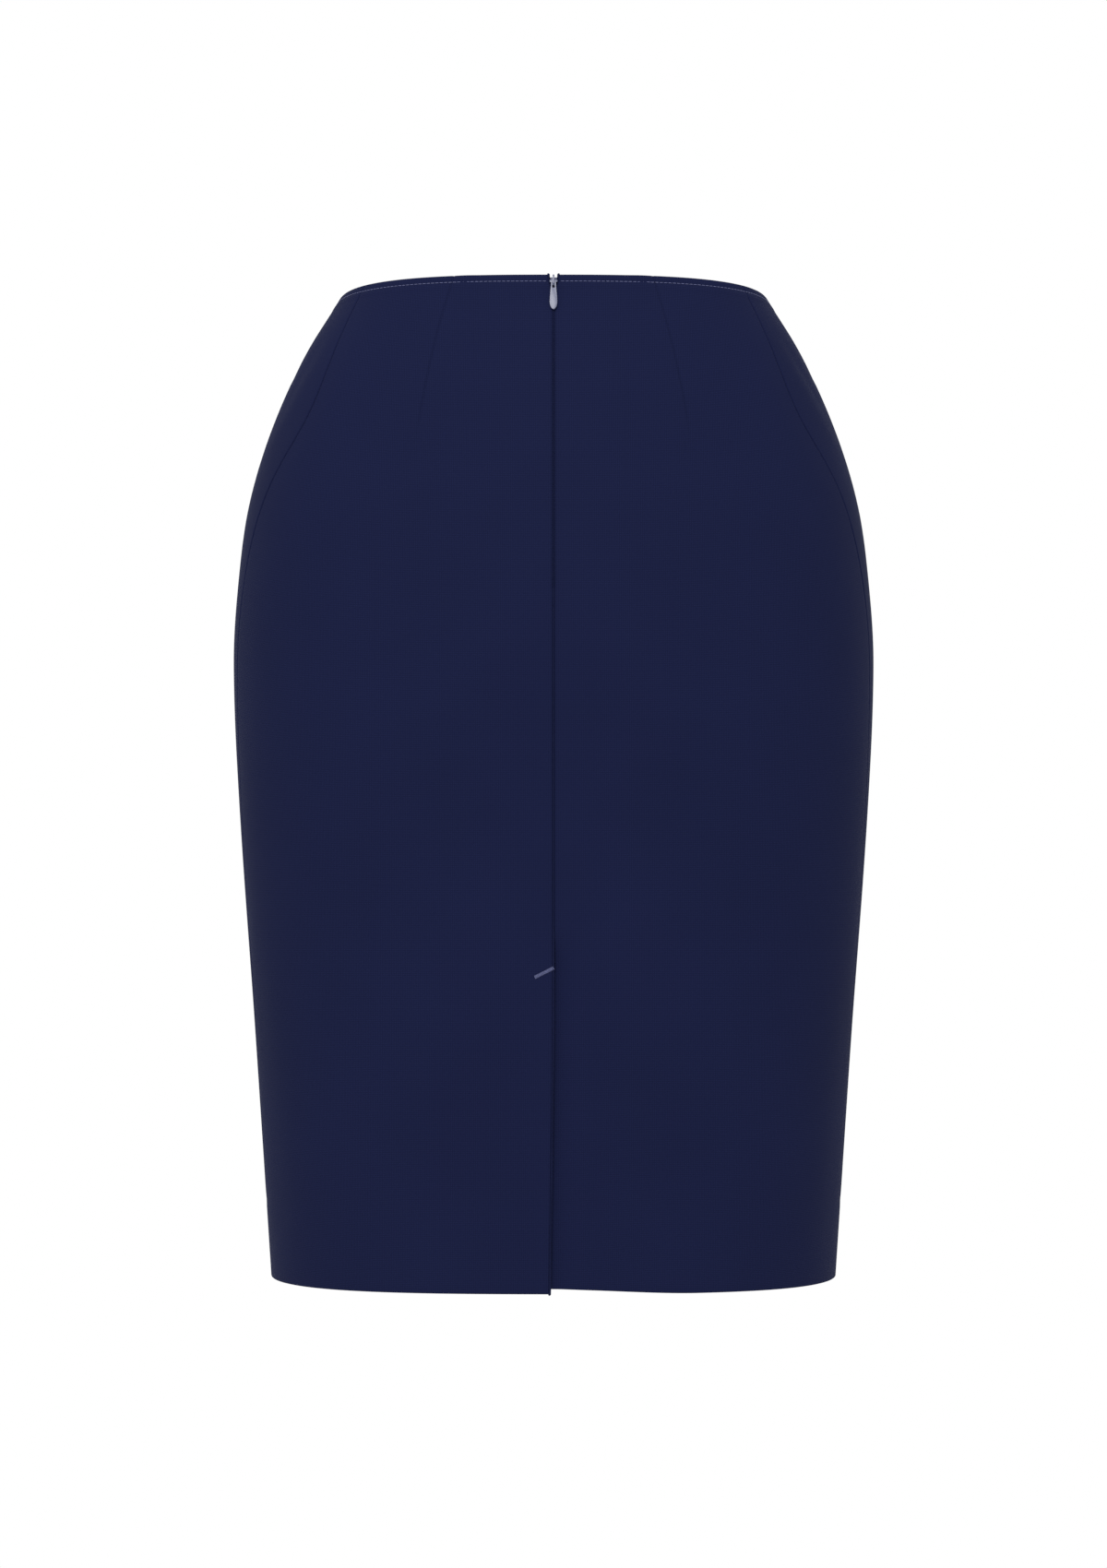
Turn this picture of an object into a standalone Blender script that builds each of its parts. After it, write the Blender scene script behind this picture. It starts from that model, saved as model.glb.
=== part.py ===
"""Pencil skirt, filled out as it is worn, waist and hem open.

Metres, +Z up. The origin is the middle of the waist opening, level with the
waist edge at the centre back. The wearer faces -Y, so the back is at +Y and
the wearer's left at +X. Sizes in the tables are millimetres.
"""

import math
from collections import namedtuple

import bmesh
import bpy
from mathutils import Matrix, Vector

MM = 0.001
SEAM_GAP = 0.3 * MM

# ---------------------------------------------------------------- cloth form

LENGTH = 560.0 * MM
FRONT_WAIST_DROP = 9.0 * MM
HEM_LIFT_AT_SIDE = 2.0 * MM

# Level cuts through the filled skirt: how far below the waist edge, half the
# width, reach to the back and to the front of the widest line, how square the
# back and front halves are (2 is an ellipse), and how many degrees behind the
# widest line the side seam runs.
Section = namedtuple("Section", "drop half_width back front back_power front_power seam")
SECTIONS = (
    Section(0, 123.1, 103, 91, 2.85, 2.3, 38.5),
    Section(35, 144.5, 112, 98, 2.8, 2.3, 40.3),
    Section(77, 163.1, 120, 104, 2.75, 2.3, 39.5),
    Section(120, 175.6, 127, 109, 2.7, 2.3, 30.5),
    Section(165, 181.4, 132, 112, 2.65, 2.3, 23.2),
    Section(210, 183.7, 133, 113, 2.6, 2.3, 19.8),
    Section(290, 180.2, 131, 113, 2.55, 2.3, 16.5),
    Section(420, 170.7, 128, 109, 2.5, 2.3, 13.5),
    Section(560, 160.8, 127, 106, 2.5, 2.3, 12.0),
)

CLOTH = 1.4 * MM
TURNED_EDGE = 2.2 * MM
TURNED_HEM = 2.4 * MM
WAIST_TURN = 12.0 * MM
HEM_TURN = 45.0 * MM
STEP_ROW = 2.0 * MM
ROW_PITCH = 31.0 * MM

# ------------------------------------------------------- darts, zip and vent

BACK_DART_ANGLE = 65.0
BACK_DART_LENGTH = 103.0 * MM
FRONT_DART_ANGLE = 66.0
FRONT_DART_LENGTH = 88.0 * MM
CREASE_DEPTH = 0.7 * MM
CREASE_HALF_WIDTH = 2.0 * MM

ZIP_LENGTH = 178.0 * MM
ZIP_HALF_SLIT = 0.4 * MM
ZIP_MOUTH_HALF = 2.8 * MM
ZIP_MOUTH_DEPTH = 16.0 * MM
TAPE_FROM_CENTRE = 4.2 * MM
TAPE_WIDTH = 10.0 * MM
TAPE_THICKNESS = 1.0 * MM
TAPE_TOP = 3.0 * MM
TAPE_BELOW_ZIP = 14.0 * MM

VENT_TOP = 386.0 * MM
VENT_SLOPE_DROP = 15.0 * MM
UNDERLAP = 40.0 * MM
UNDERLAP_INSET = 2.9 * MM
UNDERLAP_RAMP = 18.0 * MM
UNDERLAP_SINK = 28.0 * MM
VENT_SPREAD_AT_HEM = 2.6 * MM
UNDERLAP_HEM_LIFT = 2.5 * MM

# --------------------------------------------------------- slider and its tab

SLIDER_TOP = 0.6 * MM
SLIDER_WIDTH = 6.6 * MM
SLIDER_LENGTH = 9.0 * MM
SLIDER_THICKNESS = 3.0 * MM
SLIDER_INSET = 2.6 * MM
BRIDGE_WIDTH = 1.0 * MM
BRIDGE_REACH = 2.7 * MM
BRIDGE_METAL = 0.7 * MM
BRIDGE_TOP = 0.4 * MM
BRIDGE_ROUND = 0.8 * MM
BRIDGE_FILLET = 0.5 * MM
BRIDGE_LENGTH = 6.6 * MM
HINGE_DROP = 4.0 * MM
HINGE_PROUD = 1.1 * MM

TAB_THICKNESS = 0.9 * MM
TAB_LENGTH = 17.6 * MM
TAB_BAR_HALF = 2.15 * MM
TAB_NECK_HALF = 1.35 * MM
TAB_BULB_HALF = 2.1 * MM
TAB_BULB_DROP = 12.6 * MM
TAB_SLOT_HALF = 0.8 * MM
TAB_SLOT_LENGTH = 3.6 * MM
TAB_BAR_DEPTH = 1.1 * MM
TAB_BAR_FILLET = 0.3 * MM
TAB_STEPS = 6


# ------------------------------------------------------------------ materials

def make_material(name, colour, roughness, metallic=0.0):
    """A Principled material with one colour."""
    material = bpy.data.materials.new(name)
    material.use_nodes = True
    shader = material.node_tree.nodes["Principled BSDF"]
    shader.inputs["Base Color"].default_value = (*colour, 1.0)
    shader.inputs["Roughness"].default_value = roughness
    shader.inputs["Metallic"].default_value = metallic
    return material


def add_object(name, mesh, material):
    """Link a mesh into the scene under its node's name."""
    mesh.materials.append(material)
    made = bpy.data.objects.new(name, mesh)
    bpy.context.scene.collection.objects.link(made)
    return made


# ------------------------------------------------------------ the cloth's form

def hermite(table_x, table_y, x):
    """A smooth curve through table points, flat past both ends."""
    last = len(table_x) - 1
    if x <= table_x[0]:
        return table_y[0]
    if x >= table_x[last]:
        return table_y[last]
    i = max(k for k in range(last) if table_x[k] <= x)

    def slope(k):
        low = max(k - 1, 0)
        high = min(k + 1, last)
        return (table_y[high] - table_y[low]) / (table_x[high] - table_x[low])

    span = table_x[i + 1] - table_x[i]
    t = (x - table_x[i]) / span
    rise = table_y[i + 1] - table_y[i]
    bend_in = slope(i) * span - rise
    bend_out = rise - slope(i + 1) * span
    return table_y[i] + t * rise + t * (1 - t) * ((1 - t) * bend_in + t * bend_out)


def section_value(column, drop):
    """One column of the section table at a drop below the waist, in its own unit."""
    drops = [row.drop for row in SECTIONS]
    values = [getattr(row, column) for row in SECTIONS]
    return hermite(drops, values, drop / MM)


def smooth_step(low, high, x):
    """0 before low, 1 after high and an S between them."""
    t = min(max((x - low) / (high - low), 0.0), 1.0)
    return t * t * (3 - 2 * t)


def form_point(angle, drop):
    """The outer face at an angle in degrees (0 the left side, 90 centre back)."""
    c = math.cos(math.radians(angle))
    s = math.sin(math.radians(angle))
    half = "back" if s > 0 else "front"
    power = section_value(half + "_power", drop)
    reach = section_value(half, drop) * MM
    width = section_value("half_width", drop) * MM
    radius = (abs(c) ** power + abs(s) ** power) ** (-1 / power)
    return Vector((width * radius * c, reach * radius * s, -drop))


def form_normal(angle, drop):
    """The outward direction at a point of the form."""
    turn = 0.2
    fall = 1.0 * MM
    along = form_point(angle + turn, drop) - form_point(angle - turn, drop)
    down = form_point(angle, drop + fall) - form_point(angle, drop - fall)
    return down.cross(along).normalized()


def waist_drop(angle):
    """How far the waist edge lies under its centre back level."""
    seam = section_value("seam", 0.0)
    behind = math.degrees(math.asin(math.sin(math.radians(angle))))
    return FRONT_WAIST_DROP * smooth_step(seam, -90.0, behind)


def hem_drop(angle):
    """How far the hem lies under the waist level."""
    return LENGTH - HEM_LIFT_AT_SIDE * abs(math.cos(math.radians(angle))) ** 6


def drop_at(angle, fraction):
    """Drop of a point that is a fraction of the way from waist edge to hem."""
    top = waist_drop(angle)
    return top + fraction * (hem_drop(angle) - top)


def wall_at(drop, angle):
    """Cloth thickness: doubled where the waist edge and the hem are turned in."""
    below_waist = drop - waist_drop(angle)
    above_hem = hem_drop(angle) - drop
    turned = TURNED_EDGE - (TURNED_EDGE - CLOTH) * smooth_step(
        WAIST_TURN, WAIST_TURN + STEP_ROW, below_waist)
    hemmed = TURNED_HEM - (TURNED_HEM - CLOTH) * smooth_step(
        HEM_TURN, HEM_TURN + STEP_ROW, above_hem)
    return max(turned, hemmed)


def row_fractions(marks):
    """Rows at each marked drop, and evenly between them."""
    rows = []
    ordered = sorted(marks)
    for low, high in zip(ordered, ordered[1:]):
        steps = max(1, math.ceil((high - low) / ROW_PITCH))
        rows += [low + (high - low) * k / steps for k in range(steps)]
    rows.append(ordered[-1])
    return [row / LENGTH for row in rows]


# Every panel has the same rows, so that the two sides of a seam have the same corners.
ROWS = row_fractions([
    0.0, WAIST_TURN, WAIST_TURN + STEP_ROW, BACK_DART_LENGTH, ZIP_LENGTH,
    VENT_TOP - UNDERLAP_SINK, VENT_TOP, VENT_TOP + VENT_SLOPE_DROP,
    LENGTH - HEM_TURN - STEP_ROW, LENGTH - HEM_TURN, LENGTH,
])


def angle_at_x(x, drop):
    """The back angle where the form stands at a given distance from the centre."""
    return math.degrees(math.acos(x / (section_value("half_width", drop) * MM)))


def thick_sheet(name, cells, outer, inner, material):
    """One closed wall over grid cells, from an outer and an inner point for each corner."""
    bm = bmesh.new()
    corners = sorted({(i + a, j + b) for i, j in cells for a in (0, 1) for b in (0, 1)})
    out = {key: bm.verts.new(outer(*key)) for key in corners}
    into = {key: bm.verts.new(inner(*key)) for key in corners}
    edges = {}
    for i, j in cells:
        ring = [(i, j), (i, j + 1), (i + 1, j + 1), (i + 1, j)]
        bm.faces.new([out[key] for key in ring])
        bm.faces.new([into[key] for key in reversed(ring)])
        for start, end in zip(ring, ring[1:] + ring[:1]):
            if (end, start) in edges:
                del edges[(end, start)]
            else:
                edges[(start, end)] = True
    for start, end in edges:
        bm.faces.new([out[end], out[start], into[start], into[end]])
    bmesh.ops.recalc_face_normals(bm, faces=bm.faces)
    mesh = bpy.data.meshes.new(name)
    bm.to_mesh(mesh)
    bm.free()
    mesh.shade_smooth()
    mesh.set_sharp_from_angle(angle=math.radians(40))
    return add_object(name, mesh, material)


def groove_depth(kind, drop, dart_length):
    """Depth at the bottom of a seam's groove, or of a dart's, which dies out at its tip."""
    if kind == "seam":
        return CREASE_DEPTH
    if kind == "dart":
        return CREASE_DEPTH * (1 - smooth_step(0.6, 1.0, drop / dart_length))
    return 0.0


def groove_angles(angle, drop):
    """The angles of a groove's lip, its bottom and its other lip."""
    along = (form_point(angle + 0.5, drop) - form_point(angle - 0.5, drop)).length
    lip = CREASE_HALF_WIDTH / along
    return angle + lip, angle, angle - lip


# ---------------------------------------------------------------- front panel

FRONT_SIDE_STEPS = 7
FRONT_MIDDLE_STEPS = 6


def front_columns(drop):
    """Angles of the front panel's columns, right side seam to left."""
    seam = section_value("seam", drop)
    gap = math.degrees(SEAM_GAP / 2 / (section_value("half_width", drop) * MM))
    left_dart = groove_angles(-FRONT_DART_ANGLE, drop)
    left_edge = seam - gap
    lip = groove_angles(left_edge, drop)[2]
    half = [left_edge]
    half += [lip + (left_dart[0] - lip) * k / FRONT_SIDE_STEPS for k in range(FRONT_SIDE_STEPS)]
    half += list(left_dart)
    half += [left_dart[2] + (-90 - left_dart[2]) * k / FRONT_MIDDLE_STEPS
             for k in range(1, FRONT_MIDDLE_STEPS)]
    mirrored = [-180 - angle for angle in half]
    return mirrored + [-90.0] + half[::-1]


def front_grooves(count):
    """Columns on the bottom of a groove: two seams and two darts."""
    dart = FRONT_SIDE_STEPS + 2
    return {0: "seam", count - 1: "seam", dart: "dart", count - 1 - dart: "dart"}


def make_front_panel(material):
    """The front, cut in one piece on the fold, with a dart each side."""
    count = len(front_columns(0.0))
    grooves = front_grooves(count)

    def place(i, j, inner):
        angle = front_columns(ROWS[j] * LENGTH)[i]
        drop = drop_at(angle, ROWS[j])
        depth = wall_at(drop, angle) if inner else 0.0
        depth += groove_depth(grooves.get(i), drop, FRONT_DART_LENGTH)
        return form_point(angle, drop) - form_normal(angle, drop) * depth

    cells = [(i, j) for i in range(count - 1) for j in range(len(ROWS) - 1)]
    return thick_sheet("front_panel", cells, lambda i, j: place(i, j, False),
                       lambda i, j: place(i, j, True), material)


# ---------------------------------------------------------------- back panels

BACK_CENTRE_STEPS = 5
BACK_SIDE_STEPS = 7
UNDERLAP_STEPS = 3


def slit_half(drop):
    """Half of the gap between the two back panels at the centre."""
    if drop > ZIP_LENGTH:
        return SEAM_GAP / 2
    flare = 1 - smooth_step(0.0, ZIP_MOUTH_DEPTH, drop)
    return ZIP_HALF_SLIT + (ZIP_MOUTH_HALF - ZIP_HALF_SLIT) * flare ** 1.5


def flap_edge(drop):
    """Where the vent's upper flap ends: it strays from the centre towards the hem."""
    return slit_half(drop) + VENT_SPREAD_AT_HEM * smooth_step(VENT_TOP, LENGTH * 1.15, drop)


def back_columns(drop, centre_edge):
    """Angles of a back panel's columns, centre to side seam."""
    gap = math.degrees(SEAM_GAP / 2 / (section_value("half_width", drop) * MM))
    seam = section_value("seam", drop) + gap
    dart = groove_angles(BACK_DART_ANGLE, drop)
    edge = angle_at_x(centre_edge, drop)
    lip = groove_angles(seam, drop)[0]
    columns = [edge + (dart[0] - edge) * k / BACK_CENTRE_STEPS for k in range(BACK_CENTRE_STEPS)]
    columns += list(dart)
    columns += [dart[2] + (lip - dart[2]) * k / BACK_SIDE_STEPS
                for k in range(1, BACK_SIDE_STEPS + 1)]
    return columns + [seam]


def underlap_angles(drop):
    """Angles of the vent's underlap, from its free edge to the centre line."""
    return [angle_at_x(SEAM_GAP / 2 - UNDERLAP * (1 - k / UNDERLAP_STEPS), drop)
            for k in range(UNDERLAP_STEPS)]


def underlap_inset(x, drop):
    """How far the underlap's side sinks so that it passes behind the flap."""
    across = 1 - smooth_step(0.0, UNDERLAP_RAMP, x)
    return UNDERLAP_INSET * across * smooth_step(VENT_TOP - UNDERLAP_SINK, VENT_TOP, drop)


def back_point(angle, drop, side, groove, under, inner):
    """A point of a back panel: side is +1 for the left one, -1 for the right one."""
    depth = wall_at(drop, angle) if inner else 0.0
    point = form_point(angle, drop)
    if under:
        depth += underlap_inset(point.x, drop)
    depth += groove_depth(groove, drop, BACK_DART_LENGTH)
    point -= form_normal(angle, drop) * depth
    point.x *= side
    return point


def back_groove(column, count):
    """What kind of groove a back panel's column runs in."""
    if column == count - 1:
        return "seam"
    if column == BACK_CENTRE_STEPS + 1:
        return "dart"
    return None


def make_back_left_panel(material):
    """The left back, whose edge is the vent's upper flap."""
    count = len(back_columns(0.0, slit_half(0.0)))

    def place(i, j, inner):
        level = ROWS[j] * LENGTH
        angle = back_columns(level, flap_edge(level))[i]
        drop = drop_at(angle, ROWS[j])
        return back_point(angle, drop, 1, back_groove(i, count), False, inner)

    cells = [(i, j) for i in range(count - 1) for j in range(len(ROWS) - 1)]
    return thick_sheet("back_left_panel", cells, lambda i, j: place(i, j, False),
                       lambda i, j: place(i, j, True), material)


def make_back_right_panel(material):
    """The right back, whose edge runs on behind the flap as the vent's underlap."""
    main = len(back_columns(0.0, slit_half(0.0)))
    vent_row = min(range(len(ROWS)), key=lambda j: abs(ROWS[j] * LENGTH - VENT_TOP))

    def place(i, j, inner):
        level = ROWS[j] * LENGTH
        if i < UNDERLAP_STEPS:
            angle = underlap_angles(level)[i]
            slope = VENT_SLOPE_DROP * (1 - i / UNDERLAP_STEPS)
        else:
            angle = back_columns(level, slit_half(level))[i - UNDERLAP_STEPS]
            slope = 0.0
        drop = drop_at(angle, ROWS[j])
        if i < UNDERLAP_STEPS and j == vent_row:
            drop += slope
        near_centre = 1 - smooth_step(0.0, 2 * UNDERLAP, form_point(angle, drop).x)
        drop -= UNDERLAP_HEM_LIFT * near_centre * smooth_step(VENT_TOP, LENGTH, drop)
        groove = back_groove(i - UNDERLAP_STEPS, main)
        return back_point(angle, drop, -1, groove, True, inner)

    cells = [(i, j) for i in range(main + UNDERLAP_STEPS - 1) for j in range(len(ROWS) - 1)
             if i >= UNDERLAP_STEPS or j >= vent_row]
    return thick_sheet("back_right_panel", cells, lambda i, j: place(i, j, False),
                       lambda i, j: place(i, j, True), material)


# ------------------------------------------------------------------------ zip

def make_zip_tape(name, side, material):
    """One woven tape of the zip, lying behind its back panel."""
    length = ZIP_LENGTH + TAPE_BELOW_ZIP - TAPE_TOP
    steps = max(2, round(length / ROW_PITCH))
    front_inset = TURNED_EDGE + SEAM_GAP

    def place(i, j, inner):
        drop = TAPE_TOP + length * j / steps
        angle = angle_at_x(TAPE_FROM_CENTRE + TAPE_WIDTH * i, drop)
        depth = front_inset + (TAPE_THICKNESS if inner else 0.0)
        point = form_point(angle, drop) - form_normal(angle, drop) * depth
        point.x *= side
        return point

    cells = [(0, j) for j in range(steps)]
    return thick_sheet(name, cells, lambda i, j: place(i, j, False),
                       lambda i, j: place(i, j, True), material)


def cloth_frame(drop):
    """Axes on the centre back at a drop: X across, Y out of the cloth, Z up along it."""
    out = form_normal(90.0, drop)
    across = Vector((1.0, 0.0, 0.0))
    up = across.cross(out)
    turn = Matrix((across, out, up)).transposed().to_4x4()
    return Matrix.Translation(form_point(90.0, drop)) @ turn


def box_mesh(name, low, high):
    """A box between two corners, with softened edges."""
    bm = bmesh.new()
    bmesh.ops.create_cube(bm, size=1.0)
    size = Vector(high) - Vector(low)
    middle = (Vector(high) + Vector(low)) / 2
    for vert in bm.verts:
        vert.co = Vector(a * b for a, b in zip(vert.co, size)) + middle
    bmesh.ops.bevel(bm, geom=bm.edges, offset=min(size) * 0.2, segments=2,
                    affect="EDGES", profile=0.5)
    mesh = bpy.data.meshes.new(name)
    bm.to_mesh(mesh)
    bm.free()
    return mesh


def plate_mesh(name, outline, thickness, normal_axis):
    """A flat outline of (a, b) points made solid, its thickness centred on zero."""
    bm = bmesh.new()
    half = thickness / 2
    verts = []
    for a, b in outline:
        corner = (a, -half, b) if normal_axis == "Y" else (-half, a, b)
        verts.append(bm.verts.new(corner))
    face = bm.faces.new(verts)
    grown = bmesh.ops.extrude_face_region(bm, geom=[face])
    shift = Vector((0, thickness, 0)) if normal_axis == "Y" else Vector((thickness, 0, 0))
    moved = [item for item in grown["geom"] if isinstance(item, bmesh.types.BMVert)]
    bmesh.ops.translate(bm, verts=moved, vec=shift)
    bmesh.ops.recalc_face_normals(bm, faces=bm.faces)
    mesh = bpy.data.meshes.new(name)
    bm.to_mesh(mesh)
    bm.free()
    return mesh


def guide(name, mesh, operation, target):
    """Add a hidden helper and a Boolean that uses it on a piece."""
    helper = bpy.data.objects.new(name, mesh)
    bpy.context.scene.collection.objects.link(helper)
    helper.matrix_world = target.matrix_world
    helper.hide_render = True
    helper.display_type = "WIRE"
    cut = target.modifiers.new(name, "BOOLEAN")
    cut.operation = operation
    cut.solver = "EXACT"
    cut.object = helper


def make_zip_slider(material):
    """The slider: a flat body behind the cloth and a bridge that stands through the slit."""
    back = -SLIDER_INSET
    body = box_mesh("zip_slider", (-SLIDER_WIDTH / 2, back - SLIDER_THICKNESS, -SLIDER_LENGTH),
                    (SLIDER_WIDTH / 2, back, 0.0))
    slider = add_object("zip_slider", body, material)
    slider.matrix_world = cloth_frame(SLIDER_TOP)
    root = back - SLIDER_THICKNESS / 2
    high = -BRIDGE_TOP
    low = -BRIDGE_LENGTH
    face = BRIDGE_REACH
    eye_face = BRIDGE_REACH - BRIDGE_METAL
    eye_high = high - BRIDGE_METAL
    eye_low = low + BRIDGE_METAL
    outline = [
        (root, high), (face - BRIDGE_ROUND, high), (face, high - BRIDGE_ROUND),
        (face, low + BRIDGE_ROUND), (face - BRIDGE_ROUND, low), (root, low),
        (root, eye_low), (eye_face - BRIDGE_FILLET, eye_low), (eye_face, eye_low + BRIDGE_FILLET),
        (eye_face, eye_high - BRIDGE_FILLET), (eye_face - BRIDGE_FILLET, eye_high), (root, eye_high),
    ]
    guide("bridge_guide", plate_mesh("bridge_guide", outline, BRIDGE_WIDTH, "X"), "UNION", slider)
    return slider


def tab_outline():
    """The pull tab's outline in its own plane: a cross bar, a neck and a drop shape."""
    bar = TAB_BAR_DEPTH / 2
    right = [(TAB_BAR_HALF, bar), (TAB_BAR_HALF, -bar), (TAB_NECK_HALF, -bar - TAB_BAR_FILLET)]
    for k in range(1, TAB_STEPS + 1):
        t = k / TAB_STEPS
        half = TAB_NECK_HALF + (TAB_BULB_HALF - TAB_NECK_HALF) * smooth_step(0.0, 1.0, t)
        right.append((half, -bar - (TAB_BULB_DROP - bar) * t))
    tip = TAB_LENGTH - bar - TAB_BULB_DROP
    for k in range(1, TAB_STEPS):
        turn = math.pi / 2 * k / TAB_STEPS
        right.append((TAB_BULB_HALF * math.cos(turn), -TAB_BULB_DROP - tip * math.sin(turn)))
    left = [(-x, z) for x, z in reversed(right)]
    return right + [(0.0, -TAB_BULB_DROP - tip)] + left


def make_zip_pull(material):
    """The pull tab, a flat drop that hangs by its cross bar in the slider's bridge."""
    tab = add_object("zip_pull", plate_mesh("zip_pull", tab_outline(), TAB_THICKNESS, "Y"), material)
    hinge = cloth_frame(SLIDER_TOP + HINGE_DROP) @ Matrix.Translation((0.0, HINGE_PROUD, 0.0))
    tab.matrix_world = hinge
    low = -TAB_BAR_DEPTH / 2 - TAB_SLOT_LENGTH
    slot = box_mesh("slot_guide", (-TAB_SLOT_HALF, -TAB_THICKNESS, low),
                    (TAB_SLOT_HALF, TAB_THICKNESS, -TAB_BAR_DEPTH / 2))
    guide("slot_guide", slot, "DIFFERENCE", tab)
    return tab


# ----------------------------------------------------------------------- main

def main():
    for old in list(bpy.data.objects):
        bpy.data.objects.remove(old, do_unlink=True)
    suiting = make_material("navy_suiting", (0.013, 0.016, 0.047), 0.8)
    tape = make_material("navy_tape", (0.012, 0.014, 0.035), 0.85)
    enamel = make_material("navy_enamel", (0.040, 0.045, 0.088), 0.35)
    make_front_panel(suiting)
    make_back_left_panel(suiting)
    make_back_right_panel(suiting)
    make_zip_tape("zip_tape_left", 1, tape)
    make_zip_tape("zip_tape_right", -1, tape)
    make_zip_slider(enamel)
    make_zip_pull(enamel)


if __name__ == "__main__":
    main()
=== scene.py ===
import math
from collections import namedtuple

import bmesh
import bpy
import numpy as np
from bpy.props import FloatProperty, FloatVectorProperty, PointerProperty
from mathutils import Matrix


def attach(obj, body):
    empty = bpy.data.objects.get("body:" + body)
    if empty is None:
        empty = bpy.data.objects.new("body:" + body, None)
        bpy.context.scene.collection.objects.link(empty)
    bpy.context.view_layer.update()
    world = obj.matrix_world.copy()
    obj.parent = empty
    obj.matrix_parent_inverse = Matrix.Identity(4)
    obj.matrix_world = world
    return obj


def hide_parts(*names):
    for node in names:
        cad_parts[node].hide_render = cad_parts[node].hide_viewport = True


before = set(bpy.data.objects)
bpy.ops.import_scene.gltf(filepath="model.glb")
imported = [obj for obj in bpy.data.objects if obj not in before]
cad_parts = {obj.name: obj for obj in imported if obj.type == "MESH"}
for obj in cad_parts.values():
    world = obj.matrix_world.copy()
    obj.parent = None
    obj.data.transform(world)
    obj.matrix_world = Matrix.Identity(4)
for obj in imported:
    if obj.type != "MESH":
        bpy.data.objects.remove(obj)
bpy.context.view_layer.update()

bl_info = {
    "name": "Pencil skirt",
    "version": (1, 0, 0),
    "blender": (4, 5, 0),
    "location": "View3D > Sidebar > Skirt",
    "description": "Makes the cloth, stitches, zip and studio of a pencil skirt",
    "category": "Object",
}

MM = 0.001


def linear(code):
    """An sRGB hex colour as linear red, green and blue."""
    parts = [int(code[k:k + 2], 16) / 255 for k in (1, 3, 5)]
    return [v / 12.92 if v <= 0.04045 else ((v + 0.055) / 1.055) ** 2.4 for v in parts]


# ------------------------------------------------------------ the cloth's form
# Level cuts through the filled skirt, in millimetres: how far below the waist,
# half the width, reach to the back and front, how square each half is (2 is an
# ellipse), and how many degrees behind the widest line the side seam runs.

LENGTH = 560.0 * MM
FRONT_WAIST_DROP = 9.0 * MM
HEM_LIFT_AT_SIDE = 2.0 * MM
Section = namedtuple("Section", "drop half_width back front back_power front_power seam")
SECTIONS = (
    Section(0, 123.1, 103, 91, 2.85, 2.3, 38.5),
    Section(35, 144.5, 112, 98, 2.8, 2.3, 40.3),
    Section(77, 163.1, 120, 104, 2.75, 2.3, 39.5),
    Section(120, 175.6, 127, 109, 2.7, 2.3, 30.5),
    Section(165, 181.4, 132, 112, 2.65, 2.3, 23.2),
    Section(210, 183.7, 133, 113, 2.6, 2.3, 19.8),
    Section(290, 180.2, 131, 113, 2.55, 2.3, 16.5),
    Section(420, 170.7, 128, 109, 2.5, 2.3, 13.5),
    Section(560, 160.8, 127, 106, 2.5, 2.3, 12.0),
)
TABLE = {name: np.array([getattr(row, name) for row in SECTIONS], float)
         for name in Section._fields}

# ---------------------------------------------------------- how it is made up
WAIST_TURN = 12.0 * MM
HEM_TURN = 45.0 * MM
ALLOWANCE = 12.0 * MM
VENT_ALLOWANCE = 6.0 * MM
FOLD = 0.95 * MM
SEAM_GAP = 0.3 * MM
BACK_DART_ANGLE = 65.0
BACK_DART = 103.0
FRONT_DART_ANGLE = 66.0
FRONT_DART = 88.0
ZIP_LENGTH = 178.0 * MM
ZIP_HALF_SLIT = 0.4 * MM
ZIP_MOUTH_HALF = 2.8 * MM
ZIP_MOUTH_DEPTH = 16.0 * MM
VENT_TOP = 386.0 * MM
VENT_SLOPE = 15.0 * MM
UNDERLAP = 40.0 * MM
UNDERLAP_INSET = 3.1 * MM
UNDERLAP_RAMP = 18.0 * MM
UNDERLAP_SINK = 28.0 * MM
UNDERLAP_HEM_LIFT = 2.5 * MM
UNDERLAP_STEPS = 14
SLOPE_FADE = 60.0 * MM
VENT_SPREAD_AT_HEM = 2.6 * MM
TOPSTITCH_DROP = 4.0 * MM

# How closely the cloth is divided.
ROW_PITCH = 4.3 * MM
COLUMN_PITCH = 4.6 * MM
FRONT_COLUMN_PITCH = 5.0 * MM
FOLD_TURNS = np.radians([30, 60, 90, 120, 150, 180])
NEAR_A_LINE = np.array([0.0, 0.3, 0.6, 1.0, 1.6, 2.4, 3.6, 5.4]) * MM

# Creases in millimetres: a trough, or a ridge where depth is below 0, between two
# points. Across is from the centre, or from the side seam into the panel.
Crease = namedtuple("Crease", "anchor from_across from_drop to_across to_drop half_width depth")
LEFT_CREASES = (
    Crease("centre", 12, 404, 10, 548, 8, 0.5),
    Crease("centre", 34, 374, 62, 446, 17, -0.6),
    Crease("centre", 5, 13, 21, 17, 4, 0.5),
    Crease("centre", 15, 38, 16, 46, 5, 0.4),
    Crease("side", 20, 395, 34, 520, 16, 0.5),
    Crease("side", 12, 120, 22, 250, 14, 0.3),
)
RIGHT_CREASES = (
    Crease("centre", 17, 400, 15, 545, 9, 0.45),
    Crease("centre", 31, 376, 53, 437, 15, -0.55),
    Crease("centre", 4, 12, 16, 15, 4, 0.45),
    Crease("side", 22, 410, 30, 535, 14, 0.45),
    Crease("side", 10, 140, 18, 240, 13, 0.25),
)
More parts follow.
